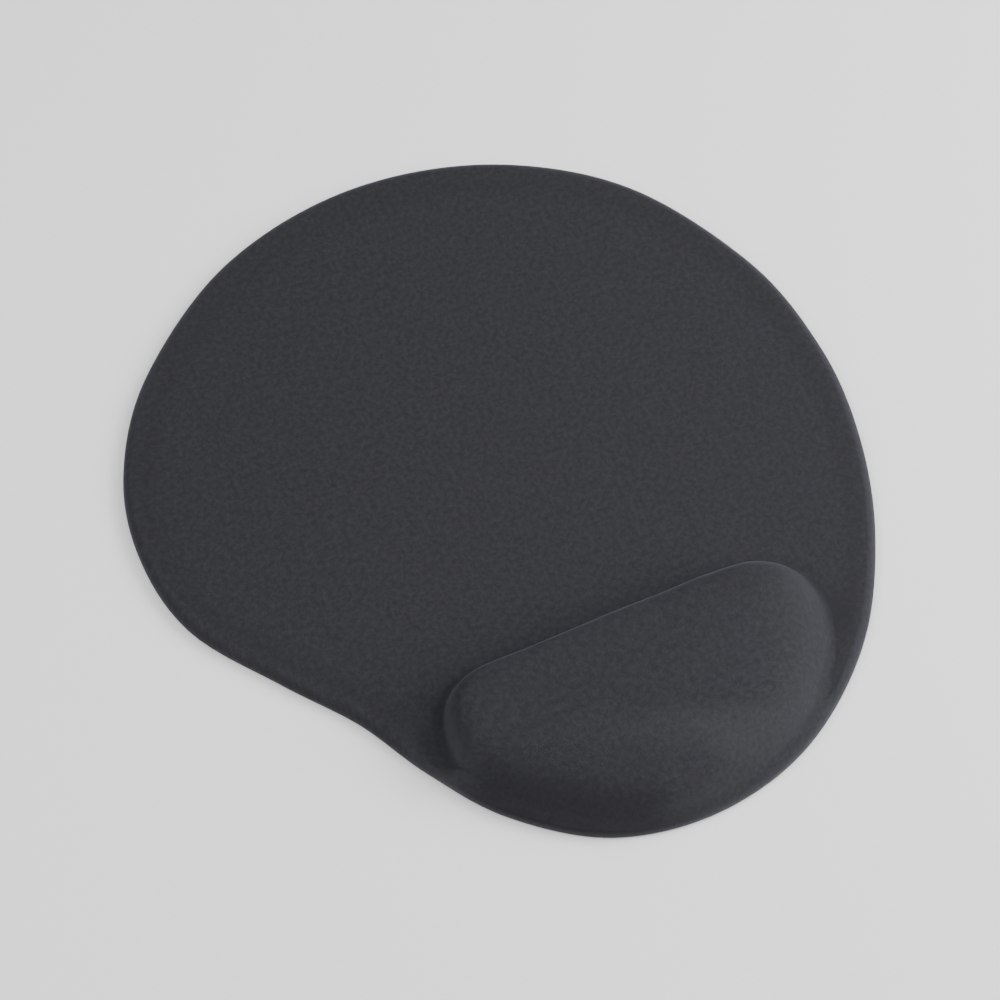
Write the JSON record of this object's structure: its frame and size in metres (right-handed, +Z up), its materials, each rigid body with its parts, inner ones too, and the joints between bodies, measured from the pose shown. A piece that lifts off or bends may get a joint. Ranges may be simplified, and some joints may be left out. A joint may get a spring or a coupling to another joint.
{
  "type": "mouse mat with wrist rest",
  "caption": "Soft rounded mouse mat whose narrower near side carries a raised gel cushion for the wrist, all under one stretched knitted cover on a non-slip base.",
  "frame": {"origin": "centre of the outline's bounding box, at the underside", "axes": "+X along the wrist rest to the right, +Y away from the user, +Z up"},
  "size_m": [0.22, 0.24, 0.018],
  "materials": {
    "knit_fabric": "fine matte stretch knit, bluish charcoal",
    "hot_melt_film": "thin milky adhesive film",
    "clear_film": "thin clear film",
    "gel": "soft clear gel with a blue tint",
    "foam": "fine-celled soft foam",
    "base_rubber": "matte non-slip sheet with a fine embossed pattern"
  },
  "bodies": {
    "root": {"fabric_cover": "knit_fabric", "cover_adhesive": "hot_melt_film", "gel_pouch_top": "clear_film", "gel_core": "gel", "gel_pouch_bottom": "clear_film", "foam_sheet": "foam", "base_adhesive": "hot_melt_film", "non_slip_base": "base_rubber"}
  },
  "joints": []
}
